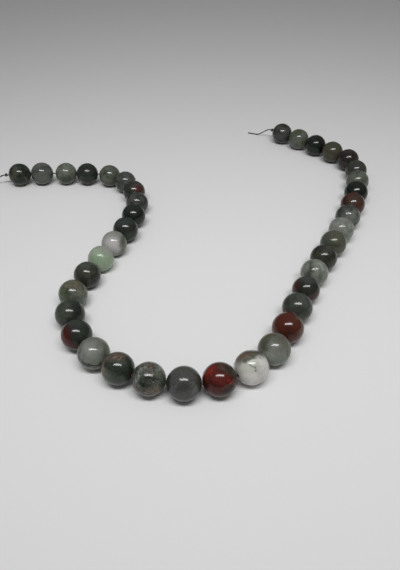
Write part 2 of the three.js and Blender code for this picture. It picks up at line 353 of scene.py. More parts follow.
class StoneColours(PropertyGroup):
    """Colours found in the stone, and a bluish reflection that is painted on dark polished beads."""

    black_green: stone_colour("Black green", "161a15", "Nearly black green chalcedony")
    deep_green: stone_colour("Deep green", "222923", "The dark green of most bloodstone")
    soot: stone_colour("Soot", "1e1d1a", "Nearly black, without the green")
    # A painted reflection, not a colour of the stone: the bluish sheen of the room's light on the tops of
    # dark polished beads, laid into their colour
    painted_blue_reflection: stone_colour("Blue slate", "2c3136", "Bluish reflection painted on dark polished stone")
    slate: stone_colour("Slate", "454644", "Even dark grey chalcedony")
    moss_grey: stone_colour("Moss grey", "3d423a", "Dark grey with some moss in it")
    grey_green: stone_colour("Grey green", "5c6158", "Grey chalcedony tinted by chlorite")
    sage: stone_colour("Sage", "6c7067", "The same, paler")
    olive: stone_colour("Olive", "474a3a", "Yellowish green, from iron and chlorite together")
    moss: stone_colour("Moss", "424a37", "Green moss inside the stone")
    pale_grey: stone_colour("Pale grey", "868782", "Thin, cloudy grey chalcedony")
    pale_green: stone_colour("Pale green", "82957b", "Clear light green chalcedony")
    milk_white: stone_colour("Milk white", "d6d4cf", "Milky quartz")
    lilac_grey: stone_colour("Lilac grey", "a5a2a6", "Cloudy quartz with a lilac cast")
    taupe: stone_colour("Taupe", "54493f", "Brownish grey jasper")
    tan: stone_colour("Tan", "6f5e50", "Light brown jasper")
    rust: stone_colour("Rust", "4a3020", "Iron stain")
    ochre: stone_colour("Ochre", "8a5038", "Specks of iron")
    brick: stone_colour("Brick", "4e1f19", "Muted red jasper")
    blood_red: stone_colour("Blood red", "5c211b", "The red jasper that names the stone")
    bright_red: stone_colour("Bright red", "7c2720", "Its brightest spots")
    maroon: stone_colour("Maroon", "351814", "Dark red jasper")
    dark_maroon: stone_colour("Dark maroon", "1f0e0c", "Nearly black red jasper")
    plum: stone_colour("Plum", "38312f", "Purplish dark jasper")


class BeadSettings(PropertyGroup):
    """Sizes and polish of the beads."""

    bore: FloatProperty(
        name="Bore", description="Diameter of the hole drilled through each bead",
        default=1.2 * MM, min=0.5 * MM, max=3.0 * MM, unit="LENGTH",
    )
    mouth_edge: FloatProperty(
        name="Mouth edge", description="Width of the worn edge where the bore comes out",
        default=0.09 * MM, min=0.0, max=0.2 * MM, unit="LENGTH",
    )
    mouth_chips: FloatProperty(
        name="Mouth chips", description="How far drilling has chipped the edge of the bore",
        default=0.025 * MM, min=0.0, max=0.1 * MM, unit="LENGTH",
    )
    sides: IntProperty(
        name="Sides", description="Faces around each bead",
        default=96, min=16, max=128,
    )
    rings: IntProperty(
        name="Rings", description="Faces from one end of each bead to the other",
        default=60, min=16, max=80,
    )
    polish: FloatProperty(
        name="Polish", description="Roughness of the polished stone",
        default=0.14, min=0.0, max=1.0, subtype="FACTOR",
    )


class ThreadSettings(PropertyGroup):
    """Sizes and colour of the thread."""

    diameter: FloatProperty(
        name="Thread", description="Diameter of the twisted thread",
        default=0.6 * MM, min=0.2 * MM, max=1.0 * MM, unit="LENGTH",
    )
    twist: FloatProperty(
        name="Twist", description="Length of thread in which its plies turn once",
        default=2.0 * MM, min=0.5 * MM, max=10.0 * MM, unit="LENGTH",
    )
    colour: FloatVectorProperty(
        name="Colour", description="Colour of the dyed nylon",
        default=linear("2b2b2d"), min=0.0, max=1.0, size=3, subtype="COLOR",
    )


class StageSettings(PropertyGroup):
    """Sizes, colours and light of the table."""

    table: FloatVectorProperty(
        name="Table", description="Colour of the matt white table",
        default=linear("e9e9e9"), min=0.0, max=1.0, size=3, subtype="COLOR",
    )
    table_radius: FloatProperty(
        name="Table radius", description="How far the table reaches from the strand",
        default=4.0, min=0.5, max=20.0, unit="LENGTH",
    )
    lamp_height: FloatProperty(
        name="Lamp height", description="Height of the long soft lamp above the table",
        default=0.42, min=0.2, max=2.0, unit="LENGTH",
    )
    lamp_length: FloatProperty(
        name="Lamp length", description="Length of the soft lamp, across the picture",
        default=0.42, min=0.05, max=2.0, unit="LENGTH",
    )
    lamp_width: FloatProperty(
        name="Lamp width", description="Width of the soft lamp",
        default=0.072, min=0.01, max=1.0, unit="LENGTH",
    )
    lamp_tilt: FloatProperty(
        name="Lamp tilt", description="How far the lamp is turned towards the middle of the strand",
        default=math.radians(25), min=0.0, max=math.radians(60), unit="ROTATION",
    )
    lamp_spread: FloatProperty(
        name="Lamp spread", description="Angle of the beam that the lamp's grid lets through",
        default=math.radians(105), min=math.radians(30), max=math.pi, unit="ROTATION",
    )
    lamp_power: FloatProperty(
        name="Lamp power", description="Power of the soft lamp",
        default=0.56, min=0.0, max=100.0, unit="POWER",
    )
    glint_power: FloatProperty(
        name="Glint power", description="Power of the lamp that adds to the glints alone",
        default=0.4, min=0.0, max=100.0, unit="POWER",
    )
    walls: FloatProperty(
        name="Walls", description="Brightness of the room's walls, low down",
        default=0.08, min=0.0, max=2.0,
    )
    ceiling: FloatProperty(
        name="Ceiling", description="Brightness of the room's ceiling",
        default=0.28, min=0.0, max=2.0,
    )
    lens: FloatProperty(
        name="Lens", description="Focal length, for a picture 36 mm tall",
        default=36.0 * MM, min=10.0 * MM, max=200.0 * MM, unit="CAMERA",
    )


# Nodes

# How a material's nodes are spread out in the editor
NODE_ACROSS = 180
NODE_DOWN = 120
NODE_ROWS = 3


def add_node(tree, kind, inputs=None, **settings):
    """Adds a node with its settings. An input that is given a socket is linked, and any other is set."""
    node = tree.nodes.new(kind)
    for name, value in settings.items():
        setattr(node, name, value)
    for socket, value in (inputs or {}).items():
        if isinstance(value, NodeSocket):
            tree.links.new(value, node.inputs[socket])
        else:
            node.inputs[socket].default_value = value
    return node


def start_material(name):
    """A new material with no nodes yet."""
    material = bpy.data.materials.new(name)
    material.use_nodes = True
    material.node_tree.nodes.clear()
    return material


def finish_material(tree, inputs):
    """Adds the shader and the output, and spreads the nodes out."""
    shader = add_node(tree, "ShaderNodeBsdfPrincipled", inputs)
    add_node(tree, "ShaderNodeOutputMaterial", {"Surface": shader.outputs["BSDF"]})
    for step, node in enumerate(tree.nodes):
        node.location = (NODE_ACROSS * step, -NODE_DOWN * (step % NODE_ROWS))


# Places, from the frame


class BeadPlace(NamedTuple):
    """A bead's number, middle and radius, and the way its bore runs."""

    number: int
    centre: Vector
    radius: float
    along: Vector


def node_name(number):
    """The name of a bead's node in the CAD model."""
    return f"bead_{number:02d}"


def find_beads():
    """Where each bead lies, with its bore along the line between its neighbours."""
    boxes = {number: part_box(node_name(number)) for number in NUMBERS}
    centres = {number: (low + high) / 2 for number, (low, high) in boxes.items()}
    places = {}
    for number, (low, high) in boxes.items():
        before = centres[max(number - 1, 1)]
        after = centres[min(number + 1, BEAD_COUNT)]
        along = after - before
        along.z = 0.0
        places[number] = BeadPlace(number, centres[number], (high.z - low.z) / 2, along.normalized())
    return places


PLACES = find_beads()

# The photographer's eye: how far to the right of the front bead and in front of it, how high above the
# table, and how it is turned
EYE_ACROSS = 5.9 * MM
EYE_BACK = 109.03 * MM
EYE_HEIGHT = 133.9 * MM
EYE_PITCH = math.radians(39.89)
EYE_YAW = math.radians(0.57)
EYE_ROLL = math.radians(-0.27)


def eye_place():
    """Where the photographer's eye is."""
    front = PLACES[FRONT_BEAD].centre
    return Vector((front.x + EYE_ACROSS, front.y - EYE_BACK, EYE_HEIGHT))


# Stone

# Nearly all values of a noise pattern lie between these two
NOISE_LOW = 0.3
NOISE_HIGH = 0.7

# How far apart two beads' noise patterns are taken, so that no two stones are alike
SEED_STEP = 3.7

# The full swing of a marking's edge, in bead radii
WAVER_REACH = 0.9

# The noise values between which one tone of the stone gives way to the other
CLOUD_START = 0.4
CLOUD_END = 0.64

# A seam runs where the noise is this close to its middle value
SEAM_WIDTH = 0.03
SEAM_COVER = 0.75

# Specks, in shares of the 1 mm between them: where they start to show, and where they show most
SPECK_EDGE = 0.26
SPECK_CORE = 0.1
SPECK_COVER = 0.6

# How many patches the side away from the front has, and how well each covers what is under it
BACK_PATCHES = 4
BACK_COVER = 0.8

# Roughness of the best and the least polished spots, in shares of the polish, and the orange peel's height
BEST_POLISH = 0.8
LEAST_POLISH = 1.3
PEEL_HEIGHT = 0.0006 * MM

# How far light goes into pale stone, and the shares of that for red, green and blue
GLOW_DEPTH = 1.6 * MM
GLOW_SHARES = (1.0, 0.95, 0.85)


def facing(place):
    """The turn that takes right, up and out of the picture, as they are at the bead, into the frame."""
    towards = (eye_place() - place.centre).normalized()
    right = Vector((0.0, 0.0, 1.0)).cross(towards).normalized()
    up = towards.cross(right)
    return Matrix((right, up, towards)).transposed().to_euler("XYZ")


def features(size):
    """How many features of a size lie in a bead's radius."""
    return NOMINAL_RADIUS / size


def stone_position(tree, place):
    """The place in the stone, in bead radii from its centre: right, up and towards the front."""
    coordinates = add_node(tree, "ShaderNodeTexCoord")
    mapping = add_node(tree, "ShaderNodeMapping", {
        "Vector": coordinates.outputs["Object"],
        "Location": place.centre,
        "Rotation": facing(place),
        "Scale": (place.radius, place.radius, place.radius),
    }, vector_type="TEXTURE")
    return mapping.outputs["Vector"]


def waver(tree, position, seed):
    """Moves the place a little, so that the edges of a marking wander and fray as they do in stone. The
    largest wanderings are 2.5 mm long, and each finer one is half as long as the last."""
    noise = add_node(tree, "ShaderNodeTexNoise", {
        "Vector": position, "W": seed, "Scale": features(2.5 * MM), "Detail": 6.0, "Roughness": 0.65,
    }, noise_dimensions="4D")
    middle = add_node(tree, "ShaderNodeVectorMath", {
        0: noise.outputs["Color"], 1: (0.5, 0.5, 0.5),
    }, operation="SUBTRACT")
    moved = add_node(tree, "ShaderNodeVectorMath", {
        0: middle.outputs["Vector"], 1: (WAVER_REACH, WAVER_REACH, WAVER_REACH), 2: position,
    }, operation="MULTIPLY_ADD")
    return moved.outputs["Vector"]


def tone(colours, name, light):
    """One of the stone's colours, as light as it is on a bead."""
    return lit(getattr(colours, name), light)


def lay_over(tree, below, colour, measure, edge, core, cover):
    """Lays a tone over the stone so far: nothing of it where the measure is at the edge, and its full cover
    where the measure is at the core."""
    share = add_node(tree, "ShaderNodeMapRange", {
        "Value": measure, "From Min": edge, "From Max": core, "To Max": cover,
    }, interpolation_type="SMOOTHSTEP")
    laid = add_node(tree, "ShaderNodeMix", {
        MIX_FACTOR: share.outputs["Result"], MIX_A: below, MIX_B: colour,
    }, data_type="RGBA")
    return laid.outputs[MIX_RESULT]


def cloudy_body(tree, position, seed, stone, colours):
    """Two tones of chalcedony that drift into each other, in clouds up to 3 mm across."""
    noise = add_node(tree, "ShaderNodeTexNoise", {
        "Vector": position, "W": seed, "Scale": features(3.0 * MM),
        "Detail": 6.0, "Roughness": stone.mottle,
    }, noise_dimensions="4D")
    body = tone(colours, stone.body, stone.light)
    cloud = tone(colours, stone.cloud, stone.light)
    return lay_over(tree, body, cloud, noise.outputs["Fac"], CLOUD_START, CLOUD_END, stone.clouds)


def lay_patch(tree, position, below, patch, colour, side=1):
    """Lays one soft-edged patch over the stone so far, on the front, or with side -1 on the back."""
    depth = side * math.sqrt(max(0.0, 1 - patch.across ** 2 - patch.up ** 2))
    placed = add_node(tree, "ShaderNodeMapping", {
        "Vector": position,
        "Location": (patch.across, patch.up, depth),
        "Rotation": (0.0, 0.0, math.radians(patch.turn)),
        "Scale": (patch.width, patch.height, max(patch.width, patch.height)),
    }, vector_type="TEXTURE")
    distance = add_node(tree, "ShaderNodeVectorMath", {0: placed.outputs["Vector"]}, operation="LENGTH")
    return lay_over(
        tree, below, colour, distance.outputs["Value"], 1 + patch.softness, 1 - patch.softness, patch.cover,
    )


def back_patches(stone, seed):
    """A few patches for the side away from the front, of the stone's own tones."""
    draws = random.Random(seed)
    tones = [patch.tone for patch in stone.patches] or [stone.cloud, stone.body]
    patches = []
    for _ in range(BACK_PATCHES):
        angle = draws.uniform(0, 2 * math.pi)
        reach = draws.uniform(0.1, 0.8)
        patches.append(Patch(
            draws.choice(tones), reach * math.cos(angle), reach * math.sin(angle),
            width=draws.uniform(0.2, 0.6), height=draws.uniform(0.12, 0.4),
            turn=draws.uniform(0, 180), cover=BACK_COVER,
        ))
    return patches


def lay_seams(tree, position, below, seed, colour):
    """Fine dark seams that wander through the stone, about 0.15 mm wide and 1.5 mm apart."""
    noise = add_node(tree, "ShaderNodeTexNoise", {
        "Vector": position, "W": seed + 1, "Scale": features(1.5 * MM), "Detail": 4.0, "Roughness": 0.6,
    }, noise_dimensions="4D")
    middle = add_node(tree, "ShaderNodeMath", {0: noise.outputs["Fac"], 1: 0.5}, operation="SUBTRACT")
    distance = add_node(tree, "ShaderNodeMath", {0: middle.outputs["Value"]}, operation="ABSOLUTE")
    return lay_over(tree, below, colour, distance.outputs["Value"], SEAM_WIDTH, 0.0, SEAM_COVER)


def lay_specks(tree, position, below, seed, colour):
    """Scattered specks of iron about 0.3 mm across."""
    cells = add_node(tree, "ShaderNodeTexVoronoi", {
        "Vector": position, "W": seed, "Scale": features(1.0 * MM),
    }, voronoi_dimensions="4D")
    return lay_over(tree, below, colour, cells.outputs["Distance"], SPECK_EDGE, SPECK_CORE, SPECK_COVER)


def lay_grain(tree, position, below, seed, strength):
    """The fine grain of the stone, which darkens and lightens it in grains from 0.5 mm down."""
    noise = add_node(tree, "ShaderNodeTexNoise", {
        "Vector": position, "W": seed, "Scale": features(0.5 * MM), "Detail": 3.0, "Roughness": 0.7,
    }, noise_dimensions="4D")
    level = add_node(tree, "ShaderNodeMapRange", {
        "Value": noise.outputs["Fac"], "From Min": NOISE_LOW, "From Max": NOISE_HIGH,
        "To Min": 1 - strength, "To Max": 1 + strength,
    })
    grained = add_node(tree, "ShaderNodeMix", {
        MIX_FACTOR: 1.0, MIX_A: below, MIX_B: level.outputs["Result"],
    }, data_type="RGBA", blend_type="MULTIPLY")
    return grained.outputs[MIX_RESULT]


def polished_chalcedony(place, stone, polish, colours):
    """Bloodstone: chalcedony, tumbled and polished. The eye gets a glassy skin over cloudy stone, patches
    of iron red and chlorite green, and a soft glow where the stone is thin or pale."""
    seed = SEED_STEP * place.number
    material = start_material(f"polished_chalcedony_{stone.slot}_{place.number:02d}")
    tree = material.node_tree
    position = stone_position(tree, place)
    wandering = waver(tree, position, seed)
    colour = cloudy_body(tree, wandering, seed, stone, colours)
    for patch in back_patches(stone, place.number):
        colour = lay_patch(tree, wandering, colour, patch, tone(colours, patch.tone, stone.light), side=-1)
    for patch in stone.patches:
        colour = lay_patch(tree, wandering, colour, patch, tone(colours, patch.tone, stone.light))
    if stone.seams:
        colour = lay_seams(tree, position, colour, seed, tone(colours, stone.seams, stone.light))
    if stone.specks:
        colour = lay_specks(tree, position, colour, seed, tone(colours, stone.specks, stone.light))
    colour = lay_grain(tree, position, colour, seed, stone.grain)

    # Polishing leaves a faint orange peel about 0.8 mm from crest to crest
    wear = add_node(tree, "ShaderNodeTexNoise", {
        "Vector": position, "W": seed, "Scale": features(0.8 * MM), "Detail": 2.0,
    }, noise_dimensions="4D")
    roughness = add_node(tree, "ShaderNodeMapRange", {
        "Value": wear.outputs["Fac"], "From Min": NOISE_LOW, "From Max": NOISE_HIGH,
        "To Min": polish * BEST_POLISH, "To Max": polish * LEAST_POLISH,
    })
    bump = add_node(tree, "ShaderNodeBump", {
        "Height": wear.outputs["Fac"], "Distance": PEEL_HEIGHT, "Strength": 1.0,
    })
    # The level is half of Blender's own, because the beads mirror the pale table only faintly
    finish_material(tree, {
        "Base Color": colour,
        "Roughness": roughness.outputs["Result"],
        "IOR": 1.54,
        "Specular IOR Level": 0.25,
        "Subsurface Weight": stone.glow,
        "Subsurface Radius": GLOW_SHARES,
        "Subsurface Scale": GLOW_DEPTH,
        "Normal": bump.outputs["Normal"],
    })
    return material


# Modelling


def deselect_all():
    """Leaves edit mode, with nothing selected."""
    if bpy.context.mode != "OBJECT":
        bpy.ops.object.mode_set(mode="OBJECT")
    bpy.ops.object.select_all(action="DESELECT")


def select_only(piece):
    """Leaves edit mode, with one piece selected and active."""
    deselect_all()
    bpy.context.view_layer.objects.active = piece
    piece.select_set(True)


def add_object(name, data):
    """A new object in the scene."""
    added = bpy.data.objects.new(name, data)
    bpy.context.collection.objects.link(added)
    return added


def merge_and_smooth(distance, crease):
    """From edit mode: merges doubled points, turns the faces outwards and smooths all but sharp edges."""
    bpy.ops.mesh.select_all(action="SELECT")
    bpy.ops.mesh.remove_doubles(threshold=distance)
    bpy.ops.mesh.normals_make_consistent(inside=False)
    bpy.ops.object.mode_set(mode="OBJECT")
    bpy.ops.object.shade_smooth_by_angle(angle=crease)


# Beads

# How close a point is to a mouth to count as on it, and how much of the worn edge is chipped
NEAR = 0.01 * MM
CHIPPED_SHARE = 0.9

# Faces across the worn edge, how exact the cut at a mouth is, the distance at which points are merged, and
# the angle from which an edge stays sharp
MOUTH_FACES = 3
BEAD_CUT = 0.0001 * MM
BEAD_MERGE = 0.001 * MM
BEAD_CREASE = math.radians(35)


def mouth_height(radius, settings):
    """How far from a ball's middle its bore comes out."""
    return math.sqrt(radius ** 2 - (settings.bore / 2) ** 2)


def select_mouths(ball, radius, settings):
    """Selects the edges round both mouths of the bore, in edit mode."""
    mesh = bmesh.from_edit_mesh(ball.data)
    height = mouth_height(radius, settings)
    for edge in mesh.edges:
        edge.select = all(
            abs(abs(vertex.co.z) - height) < NEAR and vertex.co.xy.length < settings.bore / 2 + NEAR
            for vertex in edge.verts
        )
    mesh.select_flush_mode()
    bmesh.update_edit_mesh(ball.data)


def model_drilled_ball(radius, settings):
    """A round ball, cut at both poles where the bore comes out, with a wall through it and worn mouths."""
    height = mouth_height(radius, settings)
    deselect_all()
    bpy.ops.mesh.primitive_uv_sphere_add(segments=settings.sides, ring_count=settings.rings, radius=radius)
    ball = bpy.context.active_object
    bpy.ops.object.mode_set(mode="EDIT")
    for side in (-1, 1):
        bpy.ops.mesh.select_all(action="SELECT")
        bpy.ops.mesh.bisect(
            plane_co=(0.0, 0.0, side * height), plane_no=(0.0, 0.0, side),
            clear_outer=True, threshold=BEAD_CUT,
        )
    bpy.ops.mesh.select_all(action="DESELECT")
    bpy.ops.mesh.select_mode(type="EDGE")
    select_mouths(ball, radius, settings)
    bpy.ops.mesh.bridge_edge_loops()
    bpy.ops.mesh.select_all(action="DESELECT")
    select_mouths(ball, radius, settings)
    bpy.ops.mesh.bevel(offset=settings.mouth_edge, segments=MOUTH_FACES, affect="EDGES")
    merge_and_smooth(BEAD_MERGE, BEAD_CREASE)
    return ball


def chip_mouths(piece, radius, settings, seed):
    """Roughens the edge of both mouths a little, as the drill leaves it."""
    edge = settings.mouth_edge * CHIPPED_SHARE
    chipped_radius = settings.bore / 2 + edge
    chipped_height = mouth_height(radius, settings) - edge
    select_only(piece)
    bpy.ops.object.mode_set(mode="EDIT")
    bpy.ops.mesh.select_mode(type="VERT")
    mesh = bmesh.from_edit_mesh(piece.data)
    for vertex in mesh.verts:
        vertex.select = vertex.co.xy.length < chipped_radius and abs(vertex.co.z) > chipped_height
    mesh.select_flush_mode()
    bmesh.update_edit_mesh(piece.data)
    bpy.ops.transform.vertex_random(offset=settings.mouth_chips, seed=seed)
    bpy.ops.object.mode_set(mode="OBJECT")


def bore_to_place(place):
    """Turns a ball with its bore along Z to lie along the thread, and puts it in its place."""
    turn = Vector((0.0, 0.0, 1.0)).rotation_difference(place.along)
    return Matrix.Translation(place.centre) @ turn.to_matrix().to_4x4()


def make_bead(place, ball, stone, settings, colours):
    """One bead: a copy of the ball of its size, chipped, put in its place and given its stone."""
    piece = ball.copy()
    piece.data = ball.data.copy()
    piece.name = f"polished_bead_{place.number:02d}"
    piece.data.name = piece.name
    bpy.context.collection.objects.link(piece)
    chip_mouths(piece, place.radius, settings, place.number)
    piece.data.transform(bore_to_place(place))
    piece.data.materials.append(polished_chalcedony(place, stone, settings.polish, colours))
    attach(piece, BODY)
    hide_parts(node_name(place.number))


class STRAND_OT_polished_beads(Operator):
    """Models the forty drilled and polished beads, each in its place on the thread"""

    bl_idname = "strand.polished_beads"
    bl_label = "Polished Beads"
    bl_options = {"REGISTER", "UNDO"}

    def execute(self, context):
        settings = context.scene.strand_beads
        colours = context.scene.strand_colours
        balls = {}
        for number in NUMBERS:
            place = PLACES[number]
            microns = round(place.radius / MM * 1000)
            if microns not in balls:
                balls[microns] = model_drilled_ball(place.radius, settings)
            make_bead(place, balls[microns], STONES[number], settings, colours)
        for ball in balls.values():
            bpy.data.objects.remove(ball)
        return {"FINISHED"}


# Thread

# Lengths that the thread's solid has too
KNOT_GAP = 0.3 * MM
KNOT_LENGTH = 1.8 * MM
TAIL_DROP = 9.0 * MM
TAIL_REST = 4.0 * MM
TAIL_CURL = 2.5 * MM
TAIL_LIFT = 0.05 * MM

# Where the tail's curve takes over from the knot, and how finely the thread is drawn
TAIL_START = 0.8 * MM
TAIL_STEPS = 60
KNOT_STEPS = 8
STEP_LENGTH = 0.2 * MM

# The knot: how often the thread turns round itself, in how many steps, and how far pulling tight thins it
KNOT_TURNS = 1.5
KNOT_TURN_STEPS = 12
KNOT_SQUEEZE = 0.85

# The cut end is sealed with heat, which rounds it: diameters from the end, share of the full thickness
SEALED_END = ((0.5, 1.0), (0.25, 0.85), (0.1, 0.6), (0.0, 0.25))

# The three plies show as three round lobes with a groove between each two: angle in degrees from the top of
# a lobe, share of the thread's radius
LOBE = ((0, 1.0), (30, 0.85), (60, 0.36), (90, 0.85))
PLIES = 3

# Filaments are about 0.05 mm thick, drawn twice as coarse so that they show. They come up for 1.5 mm at a
# time, and are darker and brighter than the dyed thread as a whole
FILAMENT_WIDTH = 0.1 * MM
FILAMENT_RUN = 1.5 * MM
FILAMENT_DARK = 0.7
FILAMENT_BRIGHT = 1.6
FILAMENT_HEIGHT = 0.02 * MM

# The distance at which the thread's points are merged, and the angle from which its edges stay sharp
THREAD_MERGE = 0.0005 * MM
THREAD_CREASE = math.radians(60)


def tail_points(place, outwards, diameter):
    """From the knot the tail falls to the table in an even curve and lies there, curling to one side."""
    sideways = Vector((-outwards.y, outwards.x, 0.0))
    rest_height = diameter / 2 + TAIL_LIFT
    points = []
    for i in range(TAIL_STEPS + 1):
        reach = TAIL_START + (TAIL_DROP + TAIL_REST - TAIL_START) * i / TAIL_STEPS
        share = reach / (TAIL_DROP + TAIL_REST)
        fallen = min(reach / TAIL_DROP, 1.0)
        point = place.centre + outwards * (place.radius + KNOT_LENGTH + reach)
        point += sideways * (TAIL_CURL * share * share)
        point.z = rest_height + (place.radius - rest_height) * (0.5 + 0.5 * math.cos(math.pi * fallen))
        points.append(point)
    return points


def knot_shape(diameter):
    """An overhand knot round its own thread: in through the middle, back in one and a half turns round both
    strands, and out through the middle again. Points run along the thread, to its side and up."""
    inner = diameter / 2
    wide = inner + diameter
    half = 0.75 * diameter
    way_in = [
        (-1.8 * diameter, 0.0, 0.0), (-0.9 * diameter, -0.8 * inner, 0.0),
        (0.8 * half, -inner, 0.0), (half + inner, -0.55 * wide, 0.0),
    ]
    turns = []
    for i in range(KNOT_TURN_STEPS + 1):
        share = i / KNOT_TURN_STEPS
        angle = math.pi * (1 - 2 * KNOT_TURNS * share)
        turns.append((half * (1 - 2 * share), wide * math.cos(angle), diameter * math.sin(angle)))
    way_out = [(-x, -y, z) for x, y, z in reversed(way_in)]
    return [Vector(point) for point in way_in + turns + way_out]


def smooth_through(points, steps):
    """A Catmull-Rom curve through the points."""
    smooth = []
    last = len(points) - 1
    for i in range(last):
        before, start = points[max(i - 1, 0)], points[i]
        end, after = points[i + 1], points[min(i + 2, last)]
        for step in range(steps):
            share = step / steps
            smooth.append(0.5 * (
                2 * start + (end - before) * share
                + (2 * before - 5 * start + 4 * end - after) * share ** 2
                + (3 * start - before - 3 * end + after) * share ** 3
            ))
    smooth.append(points[-1])
    return smooth


def knot_points(place, outwards, diameter):
    """The knot's curve, in its place just outside an end bead."""
    centre = place.centre + outwards * (place.radius + KNOT_GAP + KNOT_LENGTH / 2)
    sideways = Vector((-outwards.y, outwards.x, 0.0))
    upwards = Vector((0.0, 0.0, 1.0))
    return [
        centre + outwards * point.x + sideways * point.y + upwards * point.z
        for point in smooth_through(knot_shape(diameter * KNOT_SQUEEZE), KNOT_STEPS)
    ]


def thread_end(place, outwards, diameter):
    """Knot and tail at one end, from the bead outwards, each point with its share of the full thickness."""
    tail = tail_points(place, outwards, diameter)
    route = [(point, KNOT_SQUEEZE) for point in knot_points(place, outwards, diameter)]
    route += [(point, 1.0) for point in tail[:-1]]
    end = tail[-1]
    direction = (end - tail[-2]).normalized()
    for back, share in SEALED_END:
        route.append((end - direction * (back * diameter), share))
    return route


def spaced_out(route):
    """Adds points to the long straight stretches, so that the twist has enough of them."""
    spaced = [route[0]]
    for (start, thick), (end, thick_after) in zip(route, route[1:]):
        pieces = max(1, math.ceil((end - start).length / STEP_LENGTH))
        for i in range(1, pieces + 1):
            share = i / pieces
            spaced.append((start.lerp(end, share), thick + (thick_after - thick) * share))
    return spaced


def thread_route(diameter):
    """The whole thread: one tail and knot, straight through every bore, then the other knot and tail."""
    first, last = PLACES[1], PLACES[BEAD_COUNT]
    route = thread_end(first, -first.along, diameter)[::-1]
    for number in NUMBERS:
        place = PLACES[number]
        route.append((place.centre - place.along * place.radius, 1.0))
        route.append((place.centre + place.along * place.radius, 1.0))
    route += thread_end(last, last.along, diameter)
    return spaced_out(route)


def ply_section(diameter):
    """The thread's section: a closed line round its three plies."""
    curve = bpy.data.curves.new("ply_section", "CURVE")
    curve.dimensions = "2D"
    line = curve.splines.new("POLY")
    line.points.add(PLIES * len(LOBE) - 1)
    for i, point in enumerate(line.points):
        degrees, share = LOBE[i % len(LOBE)]
        angle = math.radians(degrees + 360 / PLIES * (i // len(LOBE)))
        reach = diameter / 2 * share
        point.co = (reach * math.cos(angle), reach * math.sin(angle), 0.0, 1.0)
    line.use_cyclic_u = True
    return add_object("ply_section", curve)


def model_twisted_thread(route, settings):
    """The section drawn along the route, turning as the plies do, and made a mesh."""
    section = ply_section(settings.diameter)
    curve = bpy.data.curves.new("twisted_thread", "CURVE")
    curve.dimensions = "3D"
    curve.bevel_mode = "OBJECT"
    curve.bevel_object = section
    curve.use_fill_caps = True
    curve.twist_mode = "MINIMUM"
    line = curve.splines.new("POLY")
    line.points.add(len(route) - 1)
    travelled = 0.0
    for i, (position, thickness) in enumerate(route):
        if i:
            travelled += (position - route[i - 1][0]).length
        point = line.points[i]
        point.co = (*position, 1.0)
        point.radius = thickness
        # Tilt has a limit, so whole turns are left out
        point.tilt = 2 * math.pi * (travelled / settings.twist % 1.0)
    select_only(add_object("twisted_thread", curve))
    bpy.ops.object.convert(target="MESH")
    thread = bpy.context.active_object
    bpy.data.objects.remove(section)
    bpy.ops.object.mode_set(mode="EDIT")
    merge_and_smooth(THREAD_MERGE, THREAD_CREASE)
    return thread


def twisted_nylon(colour, length, girth):
    """Nylon cord, three-ply and dyed: fine bright filaments on a dull dark body, with some sheen."""
    material = start_material("twisted_nylon")
    tree = material.node_tree
    coordinates = add_node(tree, "ShaderNodeTexCoord")
    unrolled = add_node(tree, "ShaderNodeMapping", {
        "Vector": coordinates.outputs["UV"],
        "Scale": (length / FILAMENT_RUN, girth / FILAMENT_WIDTH, 1.0),
    })
    filaments = add_node(tree, "ShaderNodeTexNoise", {
        "Vector": unrolled.outputs["Vector"], "Scale": 1.0, "Detail": 2.0,
    }, noise_dimensions="2D")
    level = add_node(tree, "ShaderNodeMapRange", {
        "Value": filaments.outputs["Fac"], "From Min": NOISE_LOW, "From Max": NOISE_HIGH,
    })
    body = add_node(tree, "ShaderNodeMix", {
        MIX_FACTOR: level.outputs["Result"],
        MIX_A: lit(colour, FILAMENT_DARK), MIX_B: lit(colour, FILAMENT_BRIGHT),
    }, data_type="RGBA")
    roughness = add_node(tree, "ShaderNodeMapRange", {
        "Value": filaments.outputs["Fac"], "To Min": 0.4, "To Max": 0.6,
    })
    bump = add_node(tree, "ShaderNodeBump", {
        "Height": filaments.outputs["Fac"], "Distance": FILAMENT_HEIGHT, "Strength": 0.6,
    })
    finish_material(tree, {
        "Base Color": body.outputs[MIX_RESULT],
        "Roughness": roughness.outputs["Result"],
        "IOR": 1.53,
        "Sheen Weight": 0.15,
        "Normal": bump.outputs["Normal"],
    })
    return material


class STRAND_OT_knotted_thread(Operator):
    """Models the twisted nylon thread with a knot and a short tail at each end"""

    bl_idname = "strand.knotted_thread"
    bl_label = "Knotted Thread"
    bl_options = {"REGISTER", "UNDO"}

    def execute(self, context):
        settings = context.scene.strand_thread
        route = thread_route(settings.diameter)
        length = sum((end - start).length for (start, _), (end, _) in zip(route, route[1:]))
        thread = model_twisted_thread(route, settings)
        thread.data.materials.append(twisted_nylon(settings.colour, length, math.pi * settings.diameter))
        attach(thread, BODY)
        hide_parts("thread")
        return {"FINISHED"}


# Stage

# Where the soft lamp hangs: how far to the right of the front bead and in front of it, for each metre of
# its height, and how far the glint lamp is above it
LAMP_ACROSS = 0.042
LAMP_BEFORE = 0.245
LAMP_GAP = 5 * MM

# The table: corners of its rim, width of its outer ring as a share of its radius, and its faint clouds
TABLE_CORNERS = 96
TABLE_RING = 0.5
TABLE_CLOUDS = 60 * MM
TABLE_DARK = 0.99

# The camera: length of the picture's longer side in millimetres, and the nearest and farthest that it sees
PICTURE_LENGTH = 36.0
NEAREST = 5 * MM
FARTHEST = 50.0


